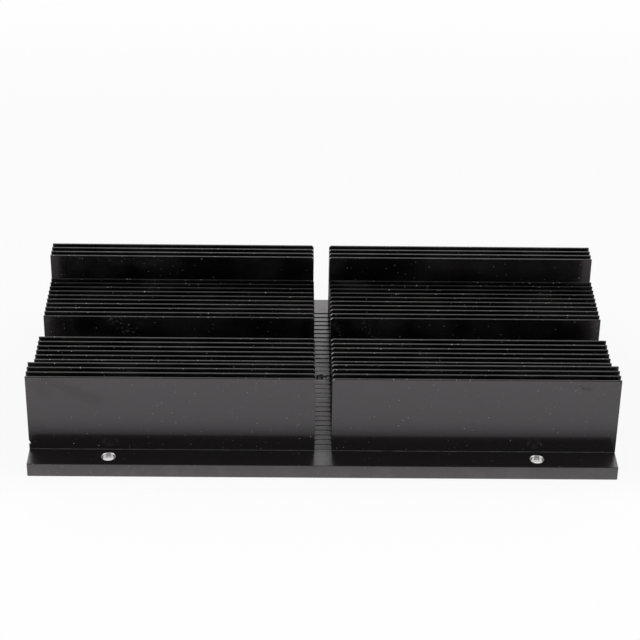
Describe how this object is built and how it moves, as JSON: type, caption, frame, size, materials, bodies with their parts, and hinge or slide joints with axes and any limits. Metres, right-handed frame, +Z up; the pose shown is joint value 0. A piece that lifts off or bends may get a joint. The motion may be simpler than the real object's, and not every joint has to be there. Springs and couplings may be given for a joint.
{
  "type": "bonded fin heat sink",
  "caption": "Black anodised heat sink: a flat grooved base plate with upright cooling blades in long rows, split by a central channel and open cross gaps, with flange holes for screws.",
  "frame": {"origin": "centre of the base plate's underside", "axes": "+X along the blades, +Y from the front edge to the rear edge, +Z up from the underside to the blades' tops"},
  "size_m": [0.25, 0.14, 0.043],
  "materials": {
    "base": "satin black anodised, bare metal inside the drilled holes",
    "blade": "satin black anodised",
    "adhesive": "hardened black epoxy"
  },
  "bodies": {
    "root": {"base_plate": "base", "groove_filler": "adhesive", "left_blade_01": "blade", "left_blade_02": "blade", "left_blade_03": "blade", "left_blade_04": "blade", "left_blade_05": "blade", "left_blade_06": "blade", "left_blade_07": "blade", "left_blade_08": "blade", "left_blade_09": "blade", "left_blade_10": "blade", "left_blade_11": "blade", "left_blade_12": "blade", "left_blade_13": "blade", "left_blade_14": "blade", "left_blade_15": "blade", "left_blade_16": "blade", "left_blade_17": "blade", "left_blade_18": "blade", "left_blade_19": "blade", "left_blade_20": "blade", "left_blade_21": "blade", "left_blade_22": "blade", "left_blade_23": "blade", "left_blade_24": "blade", "right_blade_01": "blade", "right_blade_02": "blade", "right_blade_03": "blade", "right_blade_04": "blade", "right_blade_05": "blade", "right_blade_06": "blade", "right_blade_07": "blade", "right_blade_08": "blade", "right_blade_09": "blade", "right_blade_10": "blade", "right_blade_11": "blade", "right_blade_12": "blade", "right_blade_13": "blade", "right_blade_14": "blade", "right_blade_15": "blade", "right_blade_16": "blade", "right_blade_17": "blade", "right_blade_18": "blade", "right_blade_19": "blade", "right_blade_20": "blade", "right_blade_21": "blade", "right_blade_22": "blade", "right_blade_23": "blade", "right_blade_24": "blade"}
  },
  "joints": []
}
